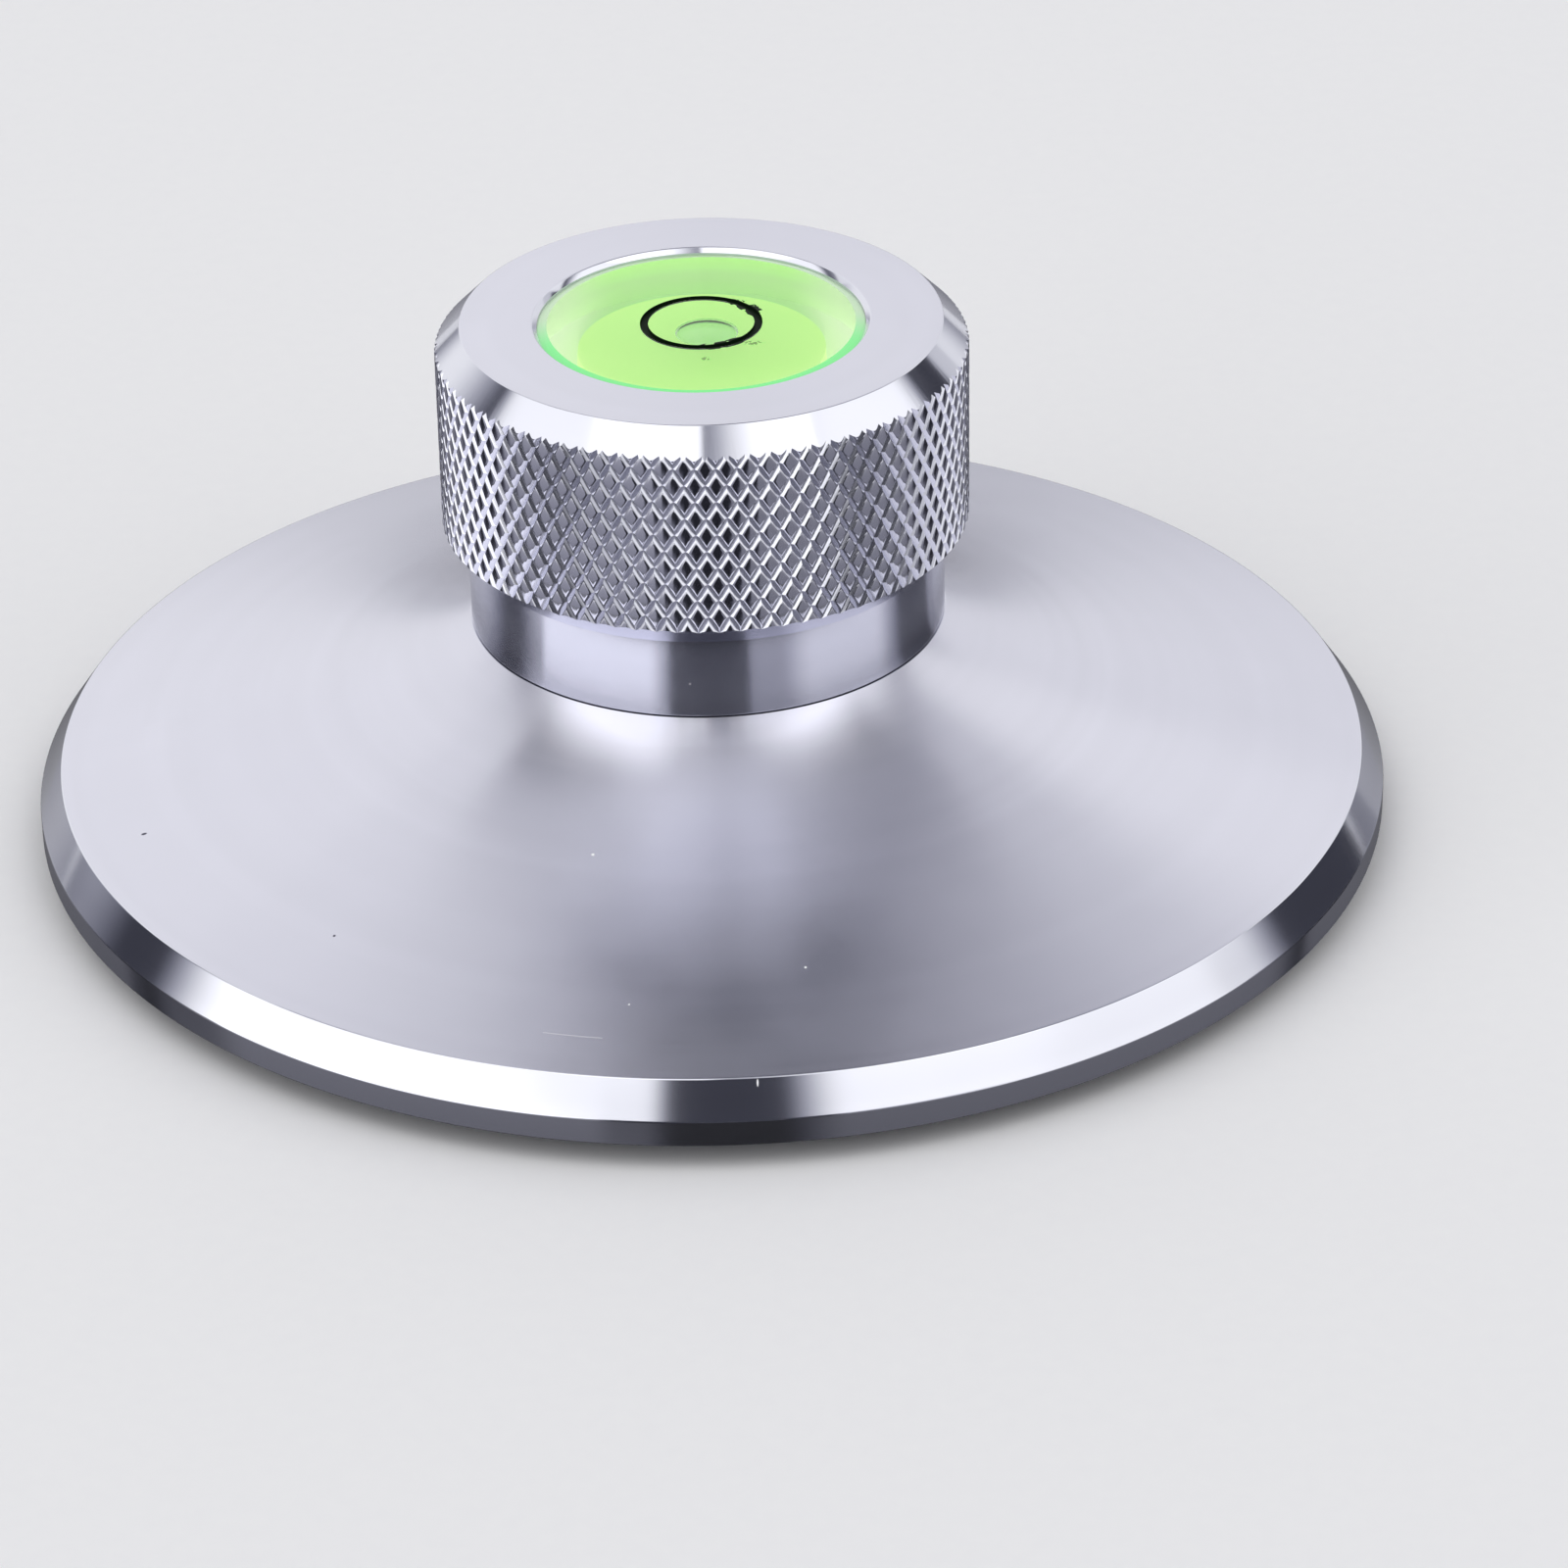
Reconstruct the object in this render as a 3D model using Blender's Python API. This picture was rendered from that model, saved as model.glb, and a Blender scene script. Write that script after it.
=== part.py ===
"""Record weight: a turned, flared foot that stands on the middle of a record, a knurled knob
screwed onto the foot's threaded boss, and a round spirit level set into the knob's top.

Every length is in millimetres and becomes metres where a mesh is made. The record's surface is
z = 0 and the weight's axis is the Z axis. Outlines are half sections, given as radius and height."""

import math

import bmesh
import bpy
from mathutils import Matrix, Vector

MM = 0.001

# Foot: the flared disc
FOOT_DIAMETER = 79.0
RIM_BAND_HEIGHT = 1.5
RIM_CHAMFER_WIDTH = 1.33
RIM_CHAMFER_HEIGHT = 1.9
RIM_EDGE_BREAK = 0.15
NECK_HEIGHT = 11.9
NECK_LEDGE = 0.075
FLARE_FILLET = 30.0
FLARE_STEEPEST_DEG = 36.0

# Boss of the foot and the blind hole in it for the turntable's spindle
BOSS_DIAMETER = 16.0
BOSS_CHAMFER = 0.6
BOSS_WEB = 1.3
SPINDLE_HOLE_DIAMETER = 7.3
SPINDLE_LEAD_IN = 0.8
SPINDLE_LAND_WIDTH = 3.75
DRILL_POINT_DEG = 118.0

# Pad in a recess under the foot
PAD_THICKNESS = 2.2
PAD_RECESS_DEPTH = 1.0
PAD_INSET = 2.7

# Knob
KNOB_HEIGHT = 17.95
GRIP_DIAMETER = 30.4
COLLAR_HEIGHT = 4.5
COLLAR_INSET = 1.425
TOP_CHAMFER = 1.48
KNOB_EDGE_BREAK = 0.12
KNOB_WEB = 1.8
LEVEL_BORE_CHAMFER = 0.27

# Knurl: raised diamonds with flat tops between two sets of V grooves
KNURL_COUNT = 80
KNURL_DIAMOND_HEIGHT = 2.04
KNURL_FLAT_SHARE = 0.62
KNURL_GROOVE_DEG = 90.0
KNURL_RUN_OUT = 0.03

# Spirit level
LEVEL_DIAMETER = 18.1
LEVEL_HEIGHT = 7.0
LEVEL_WALL = 2.05
LEVEL_EDGE_BREAK = 0.15
LEVEL_BASE_THICKNESS = 2.7
LENS_THICKNESS = 1.0
LENS_DOME_RISE = 0.5
RING_OUTER_DIAMETER = 7.0
RING_LINE_WIDTH = 0.55
RING_DEPTH = 0.2
BUBBLE_DIAMETER = 3.6
BUBBLE_DEPTH = 0.7
BUBBLE_OFFSET_X = 0.3
BUBBLE_OFFSET_Y = -1.1

# Clearance between pieces that touch, and the distance under which two points are one
GAP = 0.3
SAME_POINT = 0.01

# Facets round the axis and steps along the curves
FOOT_FACETS = 56
KNOB_FACETS = 40
LEVEL_FACETS = 32
BUBBLE_FACETS = 12
FLARE_STEPS = 6
LENS_DOME_STEPS = 3

# Radii
foot_radius = FOOT_DIAMETER / 2
grip_radius = GRIP_DIAMETER / 2
collar_radius = grip_radius - COLLAR_INSET
neck_radius = collar_radius + NECK_LEDGE
boss_radius = BOSS_DIAMETER / 2
spindle_radius = SPINDLE_HOLE_DIAMETER / 2
pad_inner_radius = spindle_radius + SPINDLE_LEAD_IN + SPINDLE_LAND_WIDTH + GAP
pad_outer_radius = foot_radius - PAD_INSET - GAP
level_radius = LEVEL_DIAMETER / 2
level_bore_radius = level_radius + GAP
level_inner_radius = level_radius - LEVEL_WALL

# Heights above the record
pad_recess_ceiling = PAD_THICKNESS + GAP
foot_underside = pad_recess_ceiling - PAD_RECESS_DEPTH
rim_band_top = foot_underside + RIM_BAND_HEIGHT
rim_chamfer_top = rim_band_top + RIM_CHAMFER_HEIGHT
neck_top = foot_underside + NECK_HEIGHT
knob_foot = neck_top + GAP
knob_top = knob_foot + KNOB_HEIGHT
collar_top = knob_foot + COLLAR_HEIGHT
level_top = knob_top - LEVEL_BORE_CHAMFER
level_foot = level_top - LEVEL_HEIGHT
level_bore_floor = level_foot - GAP
level_base_top = level_foot + LEVEL_BASE_THICKNESS
socket_ceiling = level_bore_floor - KNOB_WEB
boss_top = socket_ceiling - GAP
hole_tip = boss_top - BOSS_WEB
hole_end = hole_tip - spindle_radius / math.tan(math.radians(DRILL_POINT_DEG / 2))

# Knurl sizes that follow from the pitch. The lattice starts and ends just inside the chamfers,
# where they have cut deeper than its grooves.
knurl_half_column = math.pi / KNURL_COUNT
knurl_half_row = KNURL_DIAMOND_HEIGHT / 2
knurl_helix = math.atan2(grip_radius * knurl_half_column, knurl_half_row)
knurl_groove_pitch = 2 * grip_radius * knurl_half_column * math.cos(knurl_helix)
knurl_groove_width = knurl_groove_pitch * (1 - KNURL_FLAT_SHARE)
knurl_depth = knurl_groove_width / 2 / math.tan(math.radians(KNURL_GROOVE_DEG / 2))
knurl_root_radius = grip_radius - knurl_depth
knurl_top = knob_top - (TOP_CHAMFER - knurl_depth) + KNURL_RUN_OUT
knurl_lowest_cut = collar_top + (COLLAR_INSET - knurl_depth) - KNURL_RUN_OUT
knurl_half_rows = math.ceil((knurl_top - knurl_lowest_cut) / knurl_half_row)
knurl_bottom = knurl_top - knurl_half_rows * knurl_half_row


def clear_scene():
    """Starts from an empty scene."""
    for thing in list(bpy.data.objects):
        bpy.data.objects.remove(thing)


def make_material(name, colour, roughness, metallic=0.0, transmission=0.0):
    """A plain Principled BSDF; colour is linear red, green and blue."""
    material = bpy.data.materials.new(name)
    material.use_nodes = True
    shader = material.node_tree.nodes["Principled BSDF"]
    shader.inputs["Base Color"].default_value = (*colour, 1.0)
    shader.inputs["Roughness"].default_value = roughness
    shader.inputs["Metallic"].default_value = metallic
    shader.inputs["Transmission Weight"].default_value = transmission
    material.diffuse_color = (*colour, 1.0)
    return material


def add_object(name, mesh_data, material):
    """Turns a finished bmesh into a named object with one material."""
    mesh = bpy.data.meshes.new(name)
    mesh_data.to_mesh(mesh)
    mesh_data.free()
    mesh.materials.append(material)
    mesh.shade_smooth()
    mesh.set_sharp_from_angle(angle=math.radians(30))
    thing = bpy.data.objects.new(name, mesh)
    bpy.context.scene.collection.objects.link(thing)
    return thing


def arc(centre, radius, start_deg, end_deg, steps):
    """Points on an arc of a half section, both ends included."""
    angles = [math.radians(start_deg + (end_deg - start_deg) * i / steps) for i in range(steps + 1)]
    return [(centre[0] + radius * math.cos(a), centre[1] + radius * math.sin(a)) for a in angles]


def turn(outline, facets):
    """Spins a half section round the Z axis. An outline that starts and ends on the axis stays
    open there, and any other is a closed loop."""
    mesh_data = bmesh.new()
    corners = [mesh_data.verts.new((r * MM, 0, z * MM)) for r, z in outline]
    edges = [mesh_data.edges.new(pair) for pair in zip(corners, corners[1:])]
    on_axis = outline[0][0] == 0 and outline[-1][0] == 0
    if not on_axis:
        edges.append(mesh_data.edges.new((corners[-1], corners[0])))
    bmesh.ops.spin(mesh_data, geom=corners + edges, axis=(0, 0, 1), cent=(0, 0, 0),
                   angle=2 * math.pi, steps=facets, use_merge=True)
    bmesh.ops.remove_doubles(mesh_data, verts=mesh_data.verts, dist=SAME_POINT * MM)
    bmesh.ops.recalc_face_normals(mesh_data, faces=mesh_data.faces)
    return mesh_data


def flare_outline():
    """The foot's upper side from the rim to the neck: a straight cone that runs into a hollow
    fillet. The cone's slope is found so that the two meet without a kink."""
    steepest = math.radians(FLARE_STEEPEST_DEG)
    rim = Vector((foot_radius - RIM_CHAMFER_WIDTH, rim_chamfer_top))
    centre = Vector((neck_radius + FLARE_FILLET * math.sin(steepest),
                     neck_top + FLARE_FILLET * math.cos(steepest)))
    to_rim = rim - centre
    chord = math.atan2(-to_rim.y, to_rim.x)
    slope = chord - math.asin(FLARE_FILLET / to_rim.length)
    fillet = arc(centre, FLARE_FILLET, -90 - math.degrees(slope), -90 - FLARE_STEEPEST_DEG,
                 FLARE_STEPS)
    return [tuple(rim)] + fillet


def make_foot(material):
    """The flared disc with its threaded boss, the blind spindle hole and the pad's recess."""
    recess_inner = pad_inner_radius - GAP
    recess_outer = pad_outer_radius + GAP
    outline = [(0, hole_tip),
               (spindle_radius, hole_end),
               (spindle_radius, foot_underside + SPINDLE_LEAD_IN),
               (spindle_radius + SPINDLE_LEAD_IN, foot_underside),
               (recess_inner, foot_underside),
               (recess_inner, pad_recess_ceiling),
               (recess_outer, pad_recess_ceiling),
               (recess_outer, foot_underside),
               (foot_radius - RIM_EDGE_BREAK, foot_underside),
               (foot_radius, foot_underside + RIM_EDGE_BREAK),
               (foot_radius, rim_band_top)]
    outline += flare_outline()
    outline += [(boss_radius, neck_top),
                (boss_radius, boss_top - BOSS_CHAMFER),
                (boss_radius - BOSS_CHAMFER, boss_top),
                (0, boss_top)]
    return add_object("foot", turn(outline, FOOT_FACETS), material)


def make_pad(material):
    """The soft ring that touches the record."""
    outline = [(pad_inner_radius, 0),
               (pad_outer_radius, 0),
               (pad_outer_radius, PAD_THICKNESS),
               (pad_inner_radius, PAD_THICKNESS)]
    return add_object("pad", turn(outline, FOOT_FACETS), material)


def knurled_rod():
    """A rod whose surface is a lattice of raised diamonds. Each diamond has a flat top and four
    walls that run down to the grooves; its corners are where two grooves cross. The rod goes on
    plain past the lattice at both ends, so that the knob's chamfers cut through it."""
    mesh_data = bmesh.new()
    columns = 2 * KNURL_COUNT
    flat = KNURL_FLAT_SHARE
    made = {}

    def corner(row, column, radius):
        key = (round(row, 3), round(column % columns, 3))
        if key not in made:
            angle = column * knurl_half_column
            height = knurl_bottom + row * knurl_half_row
            made[key] = mesh_data.verts.new(Vector((radius * math.cos(angle), radius * math.sin(angle),
                                                    height)) * MM)
        return made[key]

    def diamond(row, column):
        """Corners and flat top, anticlockwise from outside; halves at the lattice's two ends."""
        directions = [(0, 1), (1, 0), (0, -1), (-1, 0)]
        inside = [d for d in directions if 0 <= row + d[0] <= knurl_half_rows]
        mesh_data.faces.new([corner(row + flat * up, column + flat * along, grip_radius)
                             for up, along in inside])
        for here, after in zip(directions, directions[1:] + directions[:1]):
            if here in inside and after in inside:
                mesh_data.faces.new([corner(row + flat * here[0], column + flat * here[1], grip_radius),
                                     corner(row + here[0], column + here[1], knurl_root_radius),
                                     corner(row + after[0], column + after[1], knurl_root_radius),
                                     corner(row + flat * after[0], column + flat * after[1], grip_radius)])

    for row in range(knurl_half_rows + 1):
        for column in range(columns):
            if (row + column) % 2:
                diamond(row, column)

    overrun = knurl_half_row
    for height, end in ((knurl_bottom, knob_foot - overrun), (knurl_top, knob_top + overrun)):
        rim = [edge for edge in mesh_data.edges if edge.is_boundary
               and all(abs(v.co.z / MM - height) < SAME_POINT for v in edge.verts)]
        sleeve = bmesh.ops.extrude_edge_only(mesh_data, edges=rim)["geom"]
        ends = [item for item in sleeve if isinstance(item, bmesh.types.BMVert)]
        for vertex in ends:
            vertex.co.z = end * MM
        bmesh.ops.contextual_create(mesh_data, geom=[item for item in sleeve
                                                     if isinstance(item, bmesh.types.BMEdge)])
    bmesh.ops.recalc_face_normals(mesh_data, faces=mesh_data.faces)
    return mesh_data


def make_knob(material):
    """Collar, knurled grip with a chamfer at each end, the level's bore and the boss's socket.
    The turned blank is thicker than the grip, and the knurled rod trims it by intersection."""
    blank_radius = grip_radius + knurl_depth
    top_edge = grip_radius - TOP_CHAMFER
    socket = boss_radius + GAP
    outline = [(0, socket_ceiling),
               (socket, socket_ceiling),
               (socket, knob_foot),
               (collar_radius - KNOB_EDGE_BREAK, knob_foot),
               (collar_radius, knob_foot + KNOB_EDGE_BREAK),
               (collar_radius, collar_top),
               (blank_radius, collar_top + blank_radius - collar_radius),
               (blank_radius, knob_top - (blank_radius - top_edge)),
               (top_edge, knob_top),
               (level_bore_radius + LEVEL_BORE_CHAMFER, knob_top),
               (level_bore_radius, knob_top - LEVEL_BORE_CHAMFER),
               (level_bore_radius, level_bore_floor),
               (0, level_bore_floor)]
    knob = add_object("knob", turn(outline, KNOB_FACETS), material)
    rod = add_object("knurled_rod_cutter", knurled_rod(), material)
    rod.hide_render = True
    rod.display_type = "WIRE"
    trim = knob.modifiers.new("knurl", "BOOLEAN")
    trim.operation = "INTERSECT"
    trim.solver = "EXACT"
    trim.object = rod
    return knob


def dome_outline(edge_radius, crown_height, steps):
    """Half section of the shallow dome over the liquid, from its edge to its crown."""
    radius = (edge_radius ** 2 + LENS_DOME_RISE ** 2) / (2 * LENS_DOME_RISE)
    edge_deg = math.degrees(math.acos(edge_radius / radius))
    points = arc((0, crown_height - radius), radius, edge_deg, 90, steps)
    points[-1] = (0, crown_height)
    return points


def make_level_housing(material):
    """Clear cup that stands upside down: a lens with a domed underside and an engraved ring."""
    ring_outer = RING_OUTER_DIAMETER / 2
    ring_inner = ring_outer - RING_LINE_WIDTH
    dome = dome_outline(level_inner_radius, level_top - LENS_THICKNESS, LENS_DOME_STEPS)
    outline = dome[::-1]
    outline += [(level_inner_radius, level_foot),
                (level_radius, level_foot),
                (level_radius, level_top - LEVEL_EDGE_BREAK),
                (level_radius - LEVEL_EDGE_BREAK, level_top),
                (ring_outer, level_top),
                (ring_outer, level_top - RING_DEPTH),
                (ring_inner, level_top - RING_DEPTH),
                (ring_inner, level_top),
                (0, level_top)]
    return add_object("level_housing", turn(outline, LEVEL_FACETS), material)


def make_level_base(material):
    """White plug that closes the housing and shows through the liquid."""
    radius = level_inner_radius - GAP
    outline = [(0, level_foot), (radius, level_foot), (radius, level_base_top), (0, level_base_top)]
    return add_object("level_base", turn(outline, LEVEL_FACETS), material)


def make_level_liquid(material):
    """The coloured spirit, with the bubble as a hollow in its domed top."""
    radius = level_inner_radius - GAP
    foot = level_base_top + GAP
    crown = level_top - LENS_THICKNESS - GAP
    dome = dome_outline(radius, crown, LENS_DOME_STEPS)
    liquid = add_object("level_liquid", turn([(0, foot), (radius, foot)] + dome, LEVEL_FACETS), material)
    ball = bmesh.new()
    place = Matrix.Translation(Vector((BUBBLE_OFFSET_X, BUBBLE_OFFSET_Y, crown)) * MM)
    size = Matrix.Diagonal((BUBBLE_DIAMETER / 2 * MM, BUBBLE_DIAMETER / 2 * MM, BUBBLE_DEPTH * MM, 1))
    bmesh.ops.create_uvsphere(ball, u_segments=BUBBLE_FACETS, v_segments=BUBBLE_FACETS // 2, radius=1,
                              matrix=place @ size)
    bubble = add_object("bubble_cutter", ball, material)
    bubble.hide_render = True
    bubble.display_type = "WIRE"
    hollow = liquid.modifiers.new("bubble", "BOOLEAN")
    hollow.operation = "DIFFERENCE"
    hollow.solver = "EXACT"
    hollow.object = bubble
    return liquid


def main():
    clear_scene()
    aluminium = make_material("satin_aluminium", (0.70, 0.71, 0.78), 0.28, metallic=1.0)
    bright_aluminium = make_material("bright_aluminium", (0.74, 0.75, 0.81), 0.15, metallic=1.0)
    rubber = make_material("black_rubber", (0.012, 0.012, 0.013), 0.75)
    acrylic = make_material("clear_acrylic", (0.93, 0.97, 0.94), 0.03, transmission=1.0)
    white_plastic = make_material("white_plastic", (0.85, 0.87, 0.82), 0.4)
    spirit = make_material("green_spirit", (0.45, 0.85, 0.20), 0.02, transmission=1.0)
    make_foot(aluminium)
    make_pad(rubber)
    make_knob(bright_aluminium)
    make_level_housing(acrylic)
    make_level_base(white_plastic)
    make_level_liquid(spirit)


main()
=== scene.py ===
# %% [markdown]
# # A record weight in turned metal
#
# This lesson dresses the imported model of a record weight: a turned foot that flares out like the bell
# of a trumpet, a knurled knob screwed onto it, and a round spirit level let into the knob's top.
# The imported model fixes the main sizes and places. The cells below build a finer mesh for each of its
# six pieces, give each one a finish, and light the whole as a photographer lights polished metal.

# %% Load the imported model
import math

import bpy
from mathutils import Euler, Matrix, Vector


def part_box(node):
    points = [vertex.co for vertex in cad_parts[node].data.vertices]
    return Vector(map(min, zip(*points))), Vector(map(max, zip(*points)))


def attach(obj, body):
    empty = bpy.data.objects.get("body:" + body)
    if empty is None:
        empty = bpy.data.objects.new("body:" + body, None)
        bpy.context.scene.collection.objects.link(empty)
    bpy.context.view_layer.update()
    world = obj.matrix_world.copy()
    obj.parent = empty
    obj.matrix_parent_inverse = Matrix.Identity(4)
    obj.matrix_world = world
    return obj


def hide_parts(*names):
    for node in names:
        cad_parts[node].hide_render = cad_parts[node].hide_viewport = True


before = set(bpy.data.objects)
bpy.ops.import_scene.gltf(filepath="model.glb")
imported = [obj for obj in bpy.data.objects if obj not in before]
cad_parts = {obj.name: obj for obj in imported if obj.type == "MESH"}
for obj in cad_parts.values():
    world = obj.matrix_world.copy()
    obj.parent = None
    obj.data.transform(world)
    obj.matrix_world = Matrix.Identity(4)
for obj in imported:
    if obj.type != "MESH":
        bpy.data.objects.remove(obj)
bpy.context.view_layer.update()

print("nodes:", sorted(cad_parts))

# %% [markdown]
# Lengths are written in millimetres, as on a workshop drawing, and become metres where a mesh is made.
# The weight stands on z = 0 and its axis is Z. The main heights and radii are read from the packed
# pieces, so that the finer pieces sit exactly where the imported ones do.

# %% Sizes
MM = 0.001


def low(node):
    """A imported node's lowest height in millimetres."""
    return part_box(node)[0].z / MM


def high(node):
    """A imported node's greatest height in millimetres."""
    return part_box(node)[1].z / MM


def radius_of(node):
    """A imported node's outer radius in millimetres."""
    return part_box(node)[1].x / MM


GAP = 0.3
foot_radius = radius_of("foot")
foot_underside = low("foot")
boss_top = high("foot")
neck_top = low("knob") - GAP
knob_top = high("knob")
level_top = high("level_housing")
level_foot = low("level_housing")
level_base_top = high("level_base")
level_bore_floor = level_foot - GAP
pad_top = high("pad")
print(f"foot {2 * foot_radius:.1f} mm across, knob top at {knob_top:.2f} mm")

# %% [markdown]
# ## The camera
#
# The camera stands in front of the weight and looks down at 30 degrees through a long lens, from a third
# of a metre away. A camera could be aimed by eye, but this one was fitted to the circles of the real
# weight, so its place and turn are given as they came out: it is almost level, but not quite.

# %% Camera
PICTURE_SIDE = 1600
FOCAL_PIXELS = 6005.9
SENSOR_WIDTH = 36.0
CAMERA_PLACE = (0.0, -302.754, 174.535)
CAMERA_TURN_DEG = (60.1853, 0.9042, -1.3168)

camera_data = bpy.data.cameras.new("camera")
camera_data.sensor_width = SENSOR_WIDTH
camera_data.lens = FOCAL_PIXELS / PICTURE_SIDE * SENSOR_WIDTH
camera_data.clip_start = 0.01
camera_data.clip_end = 50
camera = bpy.data.objects.new("camera", camera_data)
camera.location = Vector(CAMERA_PLACE) * MM
camera.rotation_euler = Euler([math.radians(a) for a in CAMERA_TURN_DEG], "XYZ")
bpy.context.scene.collection.objects.link(camera)
bpy.context.scene.camera = camera
bpy.context.scene.view_settings.view_transform = "Standard"
print(f"lens {camera_data.lens:.1f} mm")

# %% [markdown]
# ## Turning a piece
#
# Every piece but the knurl is round all the way, so it is drawn as half of its section and spun. The
# section is drawn with one vertex that is extruded from corner to corner. Sharp corners are broken with
# a tiny vertex bevel before the spin, because a real edge is never perfectly sharp and its thin line of
# light is what tells the eye that it is metal. Cylinders could be stacked instead, but a section keeps
# each corner where the drawing has it.

# %% Turning helpers
SAME_POINT = 0.002
SMOOTH_BELOW_DEG = 30


def select_only(piece):
    """Makes one object the only selected one and the active one, ready to pick single vertices."""
    bpy.ops.object.select_all(action="DESELECT")
    piece.select_set(True)
    bpy.context.view_layer.objects.active = piece
    bpy.context.tool_settings.mesh_select_mode = (True, False, False)


def arc(centre, radius, start_deg, end_deg, steps):
    """Points on an arc of a half section, both ends included."""
    angles = [math.radians(start_deg + (end_deg - start_deg) * i / steps) for i in range(steps + 1)]
    return [(centre[0] + radius * math.cos(a), centre[1] + radius * math.sin(a)) for a in angles]


def draw_section(name, outline):
    """A chain of vertices in the XZ plane, extruded from one corner to the next."""
    bpy.ops.mesh.primitive_plane_add(size=MM)
    piece = bpy.context.object
    piece.name = name
    select_only(piece)
    bpy.ops.object.mode_set(mode="EDIT")
    bpy.ops.mesh.select_all(action="SELECT")
    bpy.ops.mesh.merge(type="CENTER")
    here = Vector((outline[0][0], 0, outline[0][1])) * MM
    bpy.ops.transform.translate(value=here)
    for radius, height in outline[1:]:
        there = Vector((radius, 0, height)) * MM
        bpy.ops.mesh.extrude_region_move(TRANSFORM_OT_translate={"value": there - here})
        here = there
    bpy.ops.object.mode_set(mode="OBJECT")
    return piece


def break_corners(piece, corners, width, steps=3):
    """Rounds those corners of a drawn section, given as radius and height."""
    places = [Vector((r, 0, z)) * MM for r, z in corners]
    select_only(piece)
    for vertex in piece.data.vertices:
        vertex.select = any((vertex.co - place).length < SAME_POINT * MM for place in places)
    bpy.ops.object.mode_set(mode="EDIT")
    bpy.ops.mesh.bevel(offset=width * MM, segments=steps, affect="VERTICES")
    bpy.ops.object.mode_set(mode="OBJECT")


def spin_section(piece, facets):
    """Spins a drawn section round the Z axis and closes it."""
    select_only(piece)
    bpy.ops.object.mode_set(mode="EDIT")
    bpy.ops.mesh.select_all(action="SELECT")
    bpy.ops.mesh.spin(steps=facets, angle=2 * math.pi, center=(0, 0, 0), axis=(0, 0, 1))
    bpy.ops.mesh.select_all(action="SELECT")
    bpy.ops.mesh.remove_doubles(threshold=SAME_POINT * MM)
    bpy.ops.mesh.normals_make_consistent(inside=False)
    bpy.ops.object.mode_set(mode="OBJECT")
    return piece


def finish_piece(piece, replaced):
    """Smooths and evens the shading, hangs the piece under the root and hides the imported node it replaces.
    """
    select_only(piece)
    bpy.ops.object.transform_apply(location=True, rotation=True, scale=True)
    bpy.ops.object.shade_smooth_by_angle(angle=math.radians(SMOOTH_BELOW_DEG))
    even = piece.modifiers.new("even_shading", "WEIGHTED_NORMAL")
    even.keep_sharp = True
    bpy.ops.object.modifier_apply(modifier=even.name)
    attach(piece, "root")
    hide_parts(replaced)
    triangles = sum(len(face.vertices) - 2 for face in piece.data.polygons)
    print(f"{piece.name}: {triangles} triangles")


# %% [markdown]
# ## The foot
#
# One turned disc. From the rim its top rises as a shallow cone and then sweeps up in a hollow fillet to
# the neck, where the knob stands. The rim has a polished chamfer over a narrow upright band. Underneath
# there is a blind hole for the spindle that centres the weight, and a recess that holds the pad. The
# flare could be pulled from a cylinder by hand, but a formula whose slope fades evenly gives a curve
# without a kink, which turned metal would show at once.

# %% Foot
FOOT_FACETS = 288
RIM_BAND_HEIGHT = 1.5
RIM_CHAMFER_WIDTH = 1.33
RIM_CHAMFER_HEIGHT = 1.9
NECK_LEDGE = 0.075
FLARE_NECK_DEG = 36.0
FLARE_LENGTH = 6.1
FLARE_STEPS = 48
FLARE_CROWDING = 1.5
SUPPORT = 0.15
BOSS_RADIUS = 8.0
BOSS_CHAMFER = 0.6
BOSS_WEB = 1.3
SPINDLE_RADIUS = 3.65
SPINDLE_LEAD_IN = 0.8
DRILL_POINT_DEG = 118.0
COLLAR_RADIUS = 13.775
PAD_INNER_RADIUS = 8.5
PAD_OUTER_RADIUS = 36.5
CLOSE_FIT = 0.03
EDGE_BREAK = 0.06

neck_radius = COLLAR_RADIUS + NECK_LEDGE
rim_band_top = foot_underside + RIM_BAND_HEIGHT
rim_chamfer_top = (foot_radius - RIM_CHAMFER_WIDTH, rim_band_top + RIM_CHAMFER_HEIGHT)
hole_tip = boss_top - BOSS_WEB
hole_end = hole_tip - SPINDLE_RADIUS / math.tan(math.radians(DRILL_POINT_DEG / 2))


def flare():
    """From the rim up to the neck. The slope grows towards the neck as the bell of a trumpet's does."""
    neck_slope = math.tan(math.radians(FLARE_NECK_DEG))
    span = rim_chamfer_top[0] - neck_radius
    fade = FLARE_LENGTH * (1 - math.exp(-span / FLARE_LENGTH))
    rim_slope = (neck_top - rim_chamfer_top[1] - neck_slope * fade) / (span - fade)
    shares = [(1 - step / FLARE_STEPS) ** FLARE_CROWDING for step in range(1, FLARE_STEPS + 1)]
    outs = [span - SUPPORT] + [span * share for share in shares]
    points = []
    for out in outs:
        drop = rim_slope * out + (neck_slope - rim_slope) * FLARE_LENGTH * (1 - math.exp(-out / FLARE_LENGTH))
        points.append((neck_radius + out, neck_top - drop))
    return points


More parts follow.
